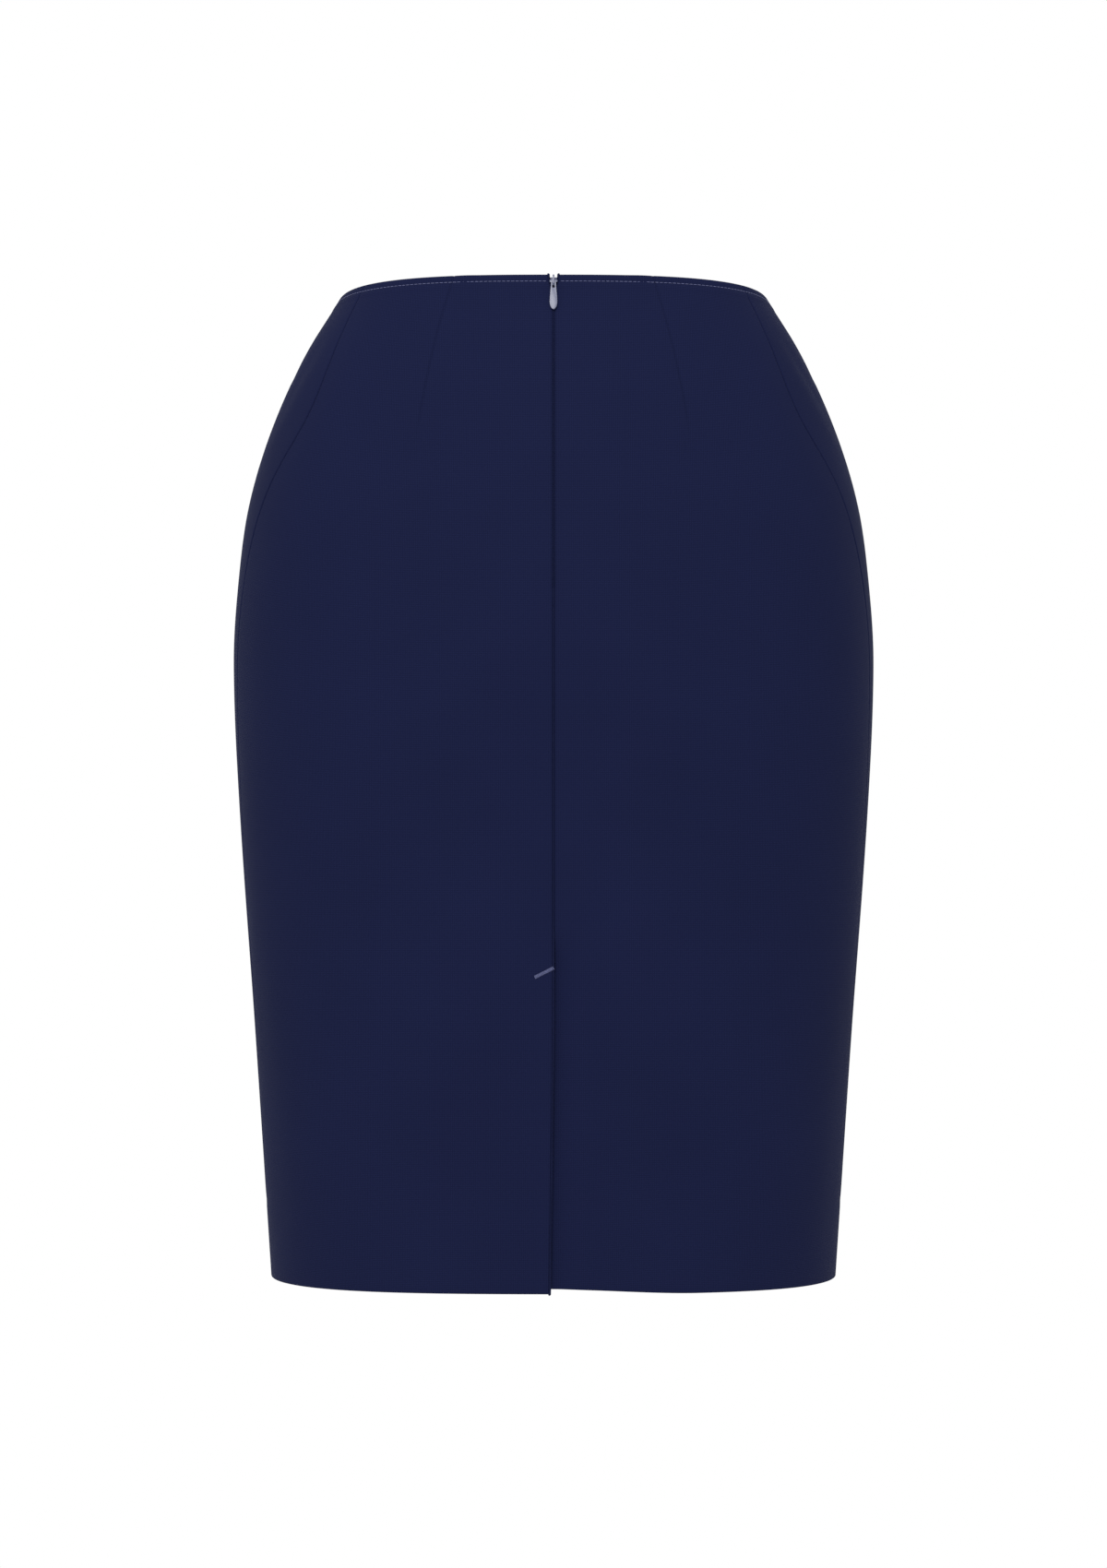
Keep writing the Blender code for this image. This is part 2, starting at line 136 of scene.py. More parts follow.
FRONT_CREASES = (
    Crease("side", 20, 35, 33, 62, 5, 0.6),
    Crease("side", 14, 50, 26, 84, 7, -0.35),
    Crease("centre", -70, 96, -22, 118, 13, 0.45),
    Crease("centre", 24, 92, 74, 110, 11, 0.4),
    Crease("centre", -96, 205, -30, 236, 18, 0.5),
    Crease("centre", 36, 222, 104, 204, 15, 0.4),
    Crease("centre", -46, 420, -58, 540, 17, -0.5),
    Crease("centre", 52, 396, 66, 530, 15, -0.45),
)


def table_curve(column, drop):
    """One column of the section table at drops in metres, as a smooth curve."""
    x = TABLE["drop"]
    y = TABLE[column]
    at = np.clip(np.asarray(drop, float) / MM, x[0], x[-1])
    i = np.clip(np.searchsorted(x, at, side="right") - 1, 0, len(x) - 2)
    slope = np.empty(len(x))
    slope[1:-1] = (y[2:] - y[:-2]) / (x[2:] - x[:-2])
    slope[0] = (y[1] - y[0]) / (x[1] - x[0])
    slope[-1] = (y[-1] - y[-2]) / (x[-1] - x[-2])
    span = x[i + 1] - x[i]
    t = (at - x[i]) / span
    rise = y[i + 1] - y[i]
    bend_in = slope[i] * span - rise
    bend_out = rise - slope[i + 1] * span
    return y[i] + t * rise + t * (1 - t) * ((1 - t) * bend_in + t * bend_out)


def smooth_step(low, high, x):
    """0 before low, 1 after high and an S between them."""
    t = np.clip((np.asarray(x, float) - low) / (high - low), 0.0, 1.0)
    return t * t * (3 - 2 * t)


def form_points(angle, drop):
    """Points of the outer face; 0 degrees is the left side and 90 the centre back."""
    angle, drop = np.broadcast_arrays(np.asarray(angle, float), np.asarray(drop, float))
    c = np.cos(np.radians(angle))
    s = np.sin(np.radians(angle))
    power = np.where(s > 0, table_curve("back_power", drop), table_curve("front_power", drop))
    reach = np.where(s > 0, table_curve("back", drop), table_curve("front", drop)) * MM
    radius = (np.abs(c) ** power + np.abs(s) ** power) ** (-1 / power)
    return np.stack([table_curve("half_width", drop) * MM * radius * c, reach * radius * s, -drop], -1)


def unit(vectors):
    """Vectors brought to length one."""
    return vectors / np.linalg.norm(vectors, axis=-1, keepdims=True)


def outward(angle, drop):
    """The direction out of the cloth."""
    along = form_points(angle + 0.2, drop) - form_points(angle - 0.2, drop)
    down = form_points(angle, drop + MM) - form_points(angle, drop - MM)
    return unit(np.cross(down, along))


def drop_at(angle, level):
    """The drop of a point whose level runs from 0 at the waist edge to LENGTH at the hem."""
    behind = np.degrees(np.arcsin(np.clip(np.sin(np.radians(angle)), -1, 1)))
    top = FRONT_WAIST_DROP * smooth_step(TABLE["seam"][0], -90.0, behind)
    hem = LENGTH - HEM_LIFT_AT_SIDE * np.abs(np.cos(np.radians(angle))) ** 6
    return top + level / LENGTH * (hem - top)


def slit_half(level):
    """Half of the gap between the back panels at the centre."""
    flare = 1 - smooth_step(0.0, ZIP_MOUTH_DEPTH, level)
    mouth = ZIP_HALF_SLIT + (ZIP_MOUTH_HALF - ZIP_HALF_SLIT) * flare ** 1.5
    return np.where(level > ZIP_LENGTH, SEAM_GAP / 2, mouth)


# ------------------------------------------------------------- small mesh tools

def add_piece(name, mesh, material, body="skirt"):
    """Link a mesh as a piece that rides on a body and takes a slot's finish."""
    mesh.materials.clear()
    mesh.materials.append(material)
    piece = bpy.data.objects.new(name, mesh)
    bpy.context.scene.collection.objects.link(piece)
    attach(piece, body)
    return piece


def only(piece):
    """Select one object alone and make it active."""
    bpy.ops.object.select_all(action="DESELECT")
    piece.select_set(True)
    bpy.context.view_layer.objects.active = piece


def apply_all(piece):
    """Apply a piece's modifiers in order."""
    only(piece)
    for modifier in list(piece.modifiers):
        bpy.ops.object.modifier_apply(modifier=modifier.name)


# -------------------------------------------------------------------- the cloth

def row_plan():
    """Levels, fold depths and zones of the rows, from the waist turning to the hem's."""
    turns = FOLD_TURNS[::-1]
    plan = [(level * MM, 2 * FOLD, "turn") for level in (12, 8, 4)]
    plan += [(FOLD - FOLD * math.sin(a), FOLD * (1 - math.cos(a)), "fold") for a in turns]
    plan += [(level * MM, 0.0, "face") for level in
             (0.95, 1.8, 2.6, 3.1, 3.5, 3.8, 4.0, 4.2, 4.5, 4.9, 5.5, 6.3, 7.0, 7.5, 8.0, 8.6, 10, 12)]
    plain = LENGTH - FOLD - WAIST_TURN
    steps = int(plain / ROW_PITCH)
    plan += [(WAIST_TURN + plain * k / steps, 0.0, "face")
             for k in range(1, steps + 1)]
    plan += [(LENGTH - FOLD + FOLD * math.sin(a), FOLD * (1 - math.cos(a)), "fold")
             for a in FOLD_TURNS]
    plan += [(LENGTH - fall * MM, 2 * FOLD, "turn") for fall in (5, 12, 20, 28, 36, 45)]
    level = np.array([row[0] for row in plan])
    depth = np.array([row[1] for row in plan])
    return level, depth, [row[2] for row in plan]


LEVEL, ROW_DEPTH, ROW_ZONE = row_plan()
BACK_ANGLES = np.linspace(108, 5, 413)
FRONT_ANGLES = np.linspace(-90, 45, 541)


def arc_table(angles, zero):
    """Distance along the cloth at each angle of a row, from the angle zero."""
    points = form_points(angles[None, :], drop_at(angles[None, :], LEVEL[:, None]))
    steps = np.linalg.norm(np.diff(points, axis=1), axis=-1)
    arc = np.concatenate([np.zeros((len(LEVEL), 1)), np.cumsum(steps, axis=1)], axis=1)
    start = int(np.argmin(np.abs(angles - zero)))
    return arc - arc[:, start:start + 1]


def arc_of(angles, arc, angle):
    """The distance at one angle of each row."""
    order = slice(None, None, -1) if angles[0] > angles[-1] else slice(None)
    wanted = np.broadcast_to(angle, (len(LEVEL),))
    return np.array([np.interp(wanted[j], angles[order], arc[j][order]) for j in range(len(LEVEL))])


def angle_of(angles, arc, across):
    """The angle at a distance, row by row."""
    return np.stack([np.interp(across[j], arc[j], angles) for j in range(len(LEVEL))])


def spread(start, end, pitch=COLUMN_PITCH):
    """Columns between two lines, closer together beside each of them."""
    left = start[:, None] + NEAR_A_LINE
    right = end[:, None] - NEAR_A_LINE[::-1]
    count = max(2, int(np.max(right[:, 0] - left[:, -1]) / pitch))
    part = np.linspace(0, 1, count + 1)[1:-1]
    middle = left[:, -1:] + (right[:, :1] - left[:, -1:]) * part
    return np.concatenate([left, middle, right], axis=1)


def turned_edge(edge, allowance, sign):
    """Columns past an edge: the fold round it and the turning that lies behind."""
    across = [edge - sign * (FOLD - FOLD * math.sin(a)) for a in FOLD_TURNS]
    depth = [FOLD * (1 - math.cos(a)) for a in FOLD_TURNS]
    for part in (0.35, 0.7, 1.0):
        across.append(edge - sign * (FOLD + (allowance - FOLD) * part))
        depth.append(2 * FOLD)
    return np.stack(across, axis=1), np.array(depth)


def crease_relief(creases, across, from_side, drop):
    """Depth of all the creases, in millimetres, at points in millimetres."""
    total = np.zeros(np.broadcast(across, drop).shape)
    for crease in creases:
        u = across if crease.anchor == "centre" else from_side
        du = crease.to_across - crease.from_across
        dv = crease.to_drop - crease.from_drop
        t = np.clip(((u - crease.from_across) * du + (drop - crease.from_drop) * dv)
                    / (du * du + dv * dv), 0, 1)
        apart = np.hypot(u - crease.from_across - t * du, drop - crease.from_drop - t * dv)
        total += crease.depth * np.exp(-(apart / crease.half_width) ** 2)
    return total


def relief(across, side_line, dart_line, dart_length, creases):
    """How deep the face lies behind the plain form, in metres."""
    u = across / MM
    v = np.broadcast_to(LEVEL[:, None] / MM, u.shape)
    past = (np.abs(across) - dart_line[:, None]) / MM
    from_side = (side_line[:, None] - np.abs(across)) / MM
    # A dart is a sewn line with a soft ridge on its centre side and a dimple at its tip.
    fade = 1 - smooth_step(0.7 * dart_length, dart_length, v)
    depth = 0.5 * fade * np.exp(-(past / 0.6) ** 2)
    depth -= 0.35 * fade * np.exp(-((past + 7) / 5) ** 2)
    depth += 0.5 * np.exp(-(past / 6) ** 2 - ((v - dart_length) / 8) ** 2)
    # The topstitch pulls a trough, and the edge of the waist turning makes a ledge.
    depth += 0.32 * np.exp(-((v - TOPSTITCH_DROP / MM) / 0.6) ** 2)
    depth += 0.22 * smooth_step(6.8, 8.6, v)
    # Pressing prints a faint line 45 mm under the waist and 45 mm above the hem.
    depth += 0.22 * np.exp(-((v - HEM_TURN / MM) / 2.6) ** 2)
    depth += 0.2 * np.exp(-(((LENGTH - HEM_TURN) / MM - v) / 2.6) ** 2)
    # Slow waves, which die out beside the edges and seams.
    quiet = smooth_step(10, 45, v) * smooth_step(3, 26, np.abs(u)) * smooth_step(2, 14, from_side)
    ripple = np.sin(u / 41 + 1.3) * np.sin(v / 67 + 0.4) + 0.6 * np.sin(u / 23 - v / 90)
    depth += 0.22 * quiet * ripple
    return (depth + crease_relief(creases, u, from_side, v)) * MM


def lay(angles, arc, across, depth, side, hem_lift=0.0):
    """Place a grid of points on the form; across is signed where side is None."""
    reach = np.abs(across) if side is None else across
    angle = angle_of(angles, arc, reach)
    drop = drop_at(angle, np.broadcast_to(LEVEL[:, None], angle.shape)) + hem_lift
    points = form_points(angle, drop) - outward(angle, drop) * depth[..., None]
    points[..., 0] *= np.where(across < 0, -1.0, 1.0) if side is None else side
    return points


def build_cloth(name, patches, material, thickness):
    """Join patches of (points, across, kept cells) into one cloth with two faces."""
    bm = bmesh.new()
    uv = bm.loops.layers.uv.new("weave")
    for points, across, keep in patches:
        verts = [[bm.verts.new(p) for p in row] for row in points]
        rows, columns = across.shape
        middle = (rows // 2, columns // 2)
        down = points[middle[0] + 1, middle[1]] - points[middle]
        along = points[middle[0], middle[1] + 1] - points[middle]
        facing = np.dot(np.cross(down, along), points[middle] * (1, 1, 0)) > 0
        for j in range(rows - 1):
            for i in range(columns - 1):
                if not keep(j, i):
                    continue
                ring = [(j, i), (j + 1, i), (j + 1, i + 1), (j, i + 1)]
                if not facing:
                    ring.reverse()
                face = bm.faces.new([verts[a][b] for a, b in ring])
                for loop, (a, b) in zip(face.loops, ring):
                    loop[uv].uv = (across[a, b], -LEVEL[a])
    bmesh.ops.delete(bm, geom=[v for v in bm.verts if not v.link_faces], context="VERTS")
    bmesh.ops.remove_doubles(bm, verts=bm.verts, dist=0.01 * MM)
    mesh = bpy.data.meshes.new(name)
    bm.to_mesh(mesh)
    bm.free()
    area = sum(face.area for face in mesh.polygons)
    piece = add_piece(name, mesh, material)
    solid = piece.modifiers.new("thickness", "SOLIDIFY")
    solid.thickness = thickness
    solid.offset = -1.0
    apply_all(piece)
    bpy.ops.object.shade_smooth_by_angle(angle=math.radians(50))
    return piece, area


def cell_rule(returns, first=0, last=None):
    """Keeps a cell unless a seam turning would lie where the waist or hem is turned."""
    stop = len(LEVEL) if last is None else last

    def keep(j, i):
        if j < first or j + 1 > stop:
            return False
        turning = i in returns
        low = LEVEL[j] < WAIST_TURN + MM or LEVEL[j + 1] > LENGTH - HEM_TURN - MM
        return not (turning and (low or ROW_ZONE[j] != "face" or ROW_ZONE[j + 1] != "face"))

    return keep


def seam_line(angles, arc):
    """How far from the centre a panel's side edge is on each row."""
    return arc_of(angles, arc, table_curve("seam", LEVEL)) - SEAM_GAP / 2


def make_back(name, side, creases, material, thickness):
    """One back panel: +1 is the left, with the vent's flap, -1 the right with its underlap."""
    arc = arc_table(BACK_ANGLES, 90.0)
    seam = seam_line(BACK_ANGLES, arc)
    dart = arc_of(BACK_ANGLES, arc, BACK_DART_ANGLE)
    edge = slit_half(LEVEL)
    if side > 0:
        edge = edge + VENT_SPREAD_AT_HEM * smooth_step(VENT_TOP, LENGTH * 1.15, LEVEL)
    face = np.concatenate([spread(edge + FOLD, dart)[:, :-1], spread(dart, seam - FOLD)], axis=1)
    outer, outer_depth = turned_edge(seam, ALLOWANCE, 1)
    inner, inner_depth = turned_edge(edge, ALLOWANCE if side < 0 else VENT_ALLOWANCE, -1)

    def place(across, column_depth):
        depth = np.maximum(np.broadcast_to(column_depth, across.shape), ROW_DEPTH[:, None])
        depth = depth + relief(across, seam, dart, BACK_DART, creases)
        lift = 0.0
        if side < 0:
            sunk = 1 - smooth_step(0.0, UNDERLAP_RAMP, across)
            depth = depth + UNDERLAP_INSET * sunk * smooth_step(
                VENT_TOP - UNDERLAP_SINK, VENT_TOP, LEVEL)[:, None]
            near_centre = 1 - smooth_step(0, 2 * UNDERLAP, across)
            lift = -UNDERLAP_HEM_LIFT * near_centre * smooth_step(
                VENT_TOP, LENGTH, LEVEL)[:, None]
            free = np.clip(-across / UNDERLAP, 0, 1)
            lift = lift + VENT_SLOPE * free * (1 - smooth_step(
                VENT_TOP, VENT_TOP + SLOPE_FADE, LEVEL))[:, None]
        return lay(BACK_ANGLES, arc, across, depth, side, lift)

    main = np.concatenate([face, outer], axis=1)
    main_depth = np.concatenate([np.zeros(face.shape[1]), outer_depth])
    returns = set(range(face.shape[1] + len(FOLD_TURNS) - 1, main.shape[1]))
    patches = [(place(main, main_depth), main, cell_rule(returns))]
    turned = np.concatenate([inner[:, ::-1], face[:, :1]], axis=1)
    turned_depth = np.concatenate([inner_depth[::-1], [0.0]])
    vent_row = int(np.argmin(np.abs(LEVEL - VENT_TOP)))
    last = vent_row + 1 if side < 0 else None
    patches.append((place(turned, turned_depth), turned, cell_rule({0, 1, 2}, last=last)))
    if side < 0:
        free_edge = np.full(len(LEVEL), -UNDERLAP)
        lap_turn, lap_depth = turned_edge(free_edge, VENT_ALLOWANCE, -1)
        lap_face = np.stack([free_edge + FOLD + (face[:, 0] - free_edge - FOLD) * k / UNDERLAP_STEPS
                             for k in range(UNDERLAP_STEPS + 1)], axis=1)
        lap = np.concatenate([lap_turn[:, ::-1], lap_face], axis=1)
        column_depth = np.concatenate([lap_depth[::-1], np.zeros(UNDERLAP_STEPS + 1)])
        patches.append((place(lap, column_depth), lap, cell_rule({0, 1, 2}, first=vent_row)))
    piece, area = build_cloth(name, patches, material, thickness)
    width = float(np.max(seam)) + 2 * ALLOWANCE + (UNDERLAP if side < 0 else 0.0)
    return piece, area, width


def make_front(material, thickness):
    """The front, cut in one on the fold, with a dart each side."""
    arc = arc_table(FRONT_ANGLES, -90.0)
    seam = seam_line(FRONT_ANGLES, arc)
    dart = arc_of(FRONT_ANGLES, arc, -FRONT_DART_ANGLE)
    zero = np.zeros(len(LEVEL))
    before_dart = np.array([5.4, 3.6, 2.7, 2.4, 1.6, 1.0, 0.6, 0.3]) * MM
    inner = (dart[:, None] - before_dart[0]) * np.linspace(0, 1, 17)[1:-1]
    half = np.concatenate([inner, dart[:, None] - before_dart,
                           spread(dart, seam - FOLD, FRONT_COLUMN_PITCH)], axis=1)
    outer, outer_depth = turned_edge(seam, ALLOWANCE, 1)
    right = np.concatenate([half, outer], axis=1)
    across = np.concatenate([-right[:, ::-1], zero[:, None], right], axis=1)
    side_depth = np.concatenate([np.zeros(half.shape[1]), outer_depth])
    column_depth = np.concatenate([side_depth[::-1], [0.0], side_depth])
    depth = np.maximum(np.broadcast_to(column_depth, across.shape), ROW_DEPTH[:, None])
    depth = depth + relief(across, seam, dart, FRONT_DART, FRONT_CREASES)
    count = across.shape[1]
    returns = {0, 1, 2, count - 2, count - 3, count - 4}
    points = lay(FRONT_ANGLES, arc, across, depth, None)
    piece, area = build_cloth("front_cloth", [(points, across, cell_rule(returns))],
                              material, thickness)
    return piece, area, 2 * float(np.max(seam)) + 2 * ALLOWANCE


# --------------------------------------------------------- stitches and teeth

def make_stitches(name, centres, along, normal, length, radius, material):
    """Short rounded stitches, one at each centre, in one mesh."""
    sides = 6
    rings = ((-0.5, 0.3), (-0.36, 0.9), (0.0, 1.0), (0.36, 0.9), (0.5, 0.3))
    along = unit(along)
    across = unit(np.cross(normal, along))
    up = np.cross(along, across)
    verts = []
    faces = []
    for c, a, b, n in zip(centres, along, across, up):
        start = len(verts)
        for t, scale in rings:
            for k in range(sides):
                turn = 2 * math.pi * k / sides
                verts.append(c + a * length * t + radius * scale * (
                    b * math.cos(turn) + n * math.sin(turn)))
        for ring in range(len(rings) - 1):
            low = start + ring * sides
            for k in range(sides):
                nxt = (k + 1) % sides
                faces.append((low + k, low + nxt, low + sides + nxt, low + sides + k))
        faces.append(tuple(start + k for k in reversed(range(sides))))
        end = start + (len(rings) - 1) * sides
        faces.append(tuple(end + k for k in range(sides)))
    mesh = bpy.data.meshes.new(name)
    mesh.from_pydata([tuple(v) for v in verts], [], faces)
    mesh.shade_smooth()
    return add_piece(name, mesh, material)


def ring_places(level, pitch, depth):
    """Evenly spaced places all round the skirt at one level: centre, along, outward."""
    angles = np.linspace(-90, 270, 2881)
    points = form_points(angles, drop_at(angles, level))
    arc = np.concatenate([[0.0], np.cumsum(np.linalg.norm(np.diff(points, axis=0), axis=-1))])
    count = int(arc[-1] / pitch)
    at = np.interp((np.arange(count) + 0.5) * arc[-1] / count, arc, angles)
    drop = drop_at(at, level)
    normal = outward(at, drop)
    along = form_points(at + 0.2, drop_at(at + 0.2, level)) - form_points(
        at - 0.2, drop_at(at - 0.2, level))
    return form_points(at, drop) - normal * depth, along, normal


def centre_places(levels, x, depth):
    """Places down the centre back, x to one side, with the outward direction."""
    normal = outward(np.full(len(levels), 90.0), levels)
    points = form_points(np.full(len(levels), 90.0), levels) - normal * np.reshape(depth, (-1, 1))
    points[:, 0] += x
    return points, normal


# ------------------------------------------------------------------- materials

def add_node(tree, kind, settings=None, inputs=None, links=None):
    """Add one node with its settings, its input values and its links in."""
    node = tree.nodes.new(kind)
    for key, value in (settings or {}).items():
        setattr(node, key, value)
    for key, value in (inputs or {}).items():
        node.inputs[key].default_value = value
    for key, socket in (links or {}).items():
        tree.links.new(socket, node.inputs[key])
    return node


def start_material(name, roughness, specular, metallic=0.0, sheen=0.0):
    """A Principled material with its constants set on the shader's own sockets."""
    material = bpy.data.materials.new(name)
    material.use_nodes = True
    shader = material.node_tree.nodes["Principled BSDF"]
    shader.inputs["Roughness"].default_value = roughness
    shader.inputs["Specular IOR Level"].default_value = specular
    shader.inputs["Metallic"].default_value = metallic
    shader.inputs["Sheen Weight"].default_value = sheen
    shader.inputs["Sheen Roughness"].default_value = 0.4
    shader.inputs["Sheen Tint"].default_value = (*linear("#8a94c8"), 1.0)
    return material, material.node_tree, shader


# Blender's Wave texture multiplies its scale by this before it takes the sine.
WAVES_PER_SCALE = 20


def wool_suiting(settings):
    """Plain-woven wool blend, pressed: matt, dark, with fine ribs and a faint sheen; the shade between
    its threads and the light on their tops are painted into its colour.
    """
    material, tree, shader = start_material("wool_suiting", 0.85, 0.04, sheen=settings.sheen)
    place = add_node(tree, "ShaderNodeUVMap", {"uv_map": "weave"})
    # Real threads are 0.35 mm apart, too fine to show, so they are drawn at 0.9 mm.
    thread_pitch = 0.9 * MM
    thread = 2 * math.pi / (WAVES_PER_SCALE * thread_pitch)
    warp = add_node(tree, "ShaderNodeTexWave", {"bands_direction": "X"},
                    {"Scale": thread, "Distortion": 0.6, "Detail": 1.0}, {"Vector": place.outputs[0]})
    weft = add_node(tree, "ShaderNodeTexWave", {"bands_direction": "Y"},
                    {"Scale": thread, "Distortion": 0.6, "Detail": 1.0}, {"Vector": place.outputs[0]})
    weave = add_node(tree, "ShaderNodeMath", {"operation": "MULTIPLY"},
                     links={0: warp.outputs["Fac"], 1: weft.outputs["Fac"]})
    slub = add_node(tree, "ShaderNodeTexNoise", None, {"Scale": 900.0, "Detail": 3.0},
                    {"Vector": place.outputs[0]})
    cloud = add_node(tree, "ShaderNodeTexNoise", None, {"Scale": 11.0, "Detail": 2.0},
                     {"Vector": place.outputs[0]})
    mixed = add_node(tree, "ShaderNodeMath", {"operation": "MULTIPLY_ADD"}, {1: 0.35},
                     {0: slub.outputs["Fac"], 2: weave.outputs[0]})
    # Partly painted shade and highlight: the gaps between threads take the darker cloth colour and the
    # thread tops the lighter one, and the slub noise adds tone that varies at random.
    colour = add_node(tree, "ShaderNodeMix", {"data_type": "RGBA"},
                      {6: (*settings.cloth_and_gap_shade, 1.0), 7: (*settings.cloth_and_top_highlight, 1.0)},
                      {0: mixed.outputs[0]})
    shade = add_node(tree, "ShaderNodeMapRange", None, {"To Min": 0.9, "To Max": 1.1},
                     {"Value": cloud.outputs["Fac"]})
    tinted = add_node(tree, "ShaderNodeMix", {"data_type": "RGBA", "blend_type": "MULTIPLY"},
                      {0: 1.0}, {6: colour.outputs[2], 7: shade.outputs[0]})
    bump = add_node(tree, "ShaderNodeBump", None, {"Strength": 0.35, "Distance": 0.12 * MM},
                    {"Height": mixed.outputs[0]})
    tree.links.new(tinted.outputs[2], shader.inputs["Base Color"])
    tree.links.new(bump.outputs[0], shader.inputs["Normal"])
    return material


def speckled(name, colour, roughness, specular, scale, bump, metallic=0.0):
    """A finish with fine uneven colour and height, on Object coordinates."""
    material, tree, shader = start_material(name, roughness, specular, metallic)
    place = add_node(tree, "ShaderNodeTexCoord")
    grain = add_node(tree, "ShaderNodeTexNoise", None, {"Scale": scale, "Detail": 3.0},
                     {"Vector": place.outputs["Object"]})
    light = [min(1.0, v * 1.3) for v in colour]
    mix = add_node(tree, "ShaderNodeMix", {"data_type": "RGBA"},
                   {6: (*colour, 1.0), 7: (*light, 1.0)}, {0: grain.outputs["Fac"]})
    height = add_node(tree, "ShaderNodeBump", None, {"Strength": bump, "Distance": 0.1 * MM},
                      {"Height": grain.outputs["Fac"]})
    tree.links.new(mix.outputs[2], shader.inputs["Base Color"])
    tree.links.new(height.outputs[0], shader.inputs["Normal"])
    return material


def named_material(name, maker):
    """A material by name, made the first time it is asked for."""
    return bpy.data.materials.get(name) or maker()


# -------------------------------------------------------------------- settings

class SkirtSettings(bpy.types.PropertyGroup):
    """Sizes and colours that a user would change."""

    thickness: FloatProperty(name="Cloth thickness", description="Thickness of one layer of suiting",
                             default=0.75 * MM, unit="LENGTH")
    pitch: FloatProperty(name="Stitch pitch", description="Distance from one stitch to the next",
                         default=2.5 * MM, unit="LENGTH")
    sheen: FloatProperty(name="Sheen", description="How strongly the cloth lights up at its rims",
                         default=0.025, subtype="FACTOR")
    # Painted shade and highlight: the darker colour is the cloth's navy with the shade between its
    # threads painted in, the lighter one the navy with light on the thread tops.
    cloth_and_gap_shade: FloatVectorProperty(name="Cloth, between threads", description="Darker cloth colour",
                                    default=linear("#0d1129"), subtype="COLOR")
    cloth_and_top_highlight: FloatVectorProperty(name="Cloth, thread tops", description="Lighter cloth colour",
                                     default=linear("#141936"), subtype="COLOR")
    thread: FloatVectorProperty(name="Thread", description="Colour of the topstitch thread",
                                default=linear("#4a4e6e"), subtype="COLOR")
    enamel: FloatVectorProperty(name="Enamel", description="Colour of the slider and its pull tab",
                                default=linear("#383c54"), subtype="COLOR")
    white: FloatVectorProperty(name="Studio white", description="Colour of the floor",
                               default=linear("#f4f4f4"), subtype="COLOR")


def settings_of(context):
    """The settings kept on the scene."""
    return context.scene.skirt_settings


# ------------------------------------------------------------------- operators

FLOOR_HEIGHT = -1.05
CAMERA_PLACE = (0.0, 2.2, -0.396)
CAMERA_TILT = 93.09
CAMERA_LENS = 87.7
Lamp = namedtuple("Lamp", "name place turn size watts")
LAMPS = (
    Lamp("key", (0.3, 2.1, 1.5), (-48, 0, 0), 1.2, 62.0),
    Lamp("left_rim", (1.7, 0.5, -0.3), (0, 90, 0), 1.2, 3.5),
    Lamp("right_rim", (-1.7, 0.5, -0.3), (0, -90, 0), 1.2, 3.0),
)


class SKIRT_OT_front(bpy.types.Operator):
    """Make the front's cloth"""

    bl_idname = "skirt.front"
    bl_label = "Front"

    def execute(self, context):
        settings = settings_of(context)
        cloth = named_material("wool_suiting", lambda: wool_suiting(settings))
        piece, area, width = make_front(cloth, settings.thickness)
        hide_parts("front_panel")
        return {"FINISHED"}


class SKIRT_OT_backs(bpy.types.Operator):
    """Make the two back panels, with the vent's flap and underlap"""

    bl_idname = "skirt.backs"
    bl_label = "Backs"

    def execute(self, context):
        settings = settings_of(context)
        cloth = named_material("wool_suiting", lambda: wool_suiting(settings))
        for name, node, side, creases in (
                ("back_left_cloth", "back_left_panel", 1, LEFT_CREASES),
                ("back_right_cloth", "back_right_panel", -1, RIGHT_CREASES)):
            piece, area, width = make_back(name, side, creases, cloth, settings.thickness)
            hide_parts(node)
        return {"FINISHED"}


class SKIRT_OT_stitches(bpy.types.Operator):
    """Make the waist topstitch, the centre seam's threads and the bartack"""

    bl_idname = "skirt.stitches"
    bl_label = "Stitches"

    def execute(self, context):
        settings = settings_of(context)
        # Spun polyester thread: a dull, hairy gleam, paler than the cloth at the waist.
        bright = speckled("polyester_thread", list(settings.thread), 0.55, 0.3, 9000.0, 0.2)
        # Painted shade: the seam's own thread is coloured as dark as the shaded gap it lies in.
        dark = speckled("dark_polyester_thread", linear("#14172b"), 0.7, 0.1, 9000.0, 0.2)
        centres, along, normal = ring_places(TOPSTITCH_DROP, settings.pitch, 0.16 * MM)
        clear = (np.abs(centres[:, 0]) > 2.6 * MM) | (centres[:, 1] < 0)
        make_stitches("waist_topstitch", centres[clear], along[clear], normal[clear],
                      settings.pitch * 0.84, 0.19 * MM, bright)
        levels = np.arange(ZIP_LENGTH + 2 * MM, VENT_TOP - 2 * MM, settings.pitch)
        centres, normal = centre_places(levels, 0.0, np.full(len(levels), 0.5 * MM))
        down = np.tile([1.0, 0.0, -0.5], (len(levels), 1))
        # The centre seam's threads take the thread material with the gap's shade painted in.
        make_stitches("centre_seam_threads", centres, down, normal, 1.5 * MM, 0.14 * MM, dark)
        count = 23
        part = np.linspace(0, 1, count)
        levels = VENT_TOP + 5 * MM * (1 - part) - 2 * MM
        centres, normal = centre_places(levels, 10 * MM * (1 - part), np.full(count, 0.0))
        across = np.tile([0.45, 0.0, 1.0], (count, 1))
        make_stitches("vent_bartack", centres, across, normal, 2.0 * MM, 0.2 * MM, bright)
        return {"FINISHED"}


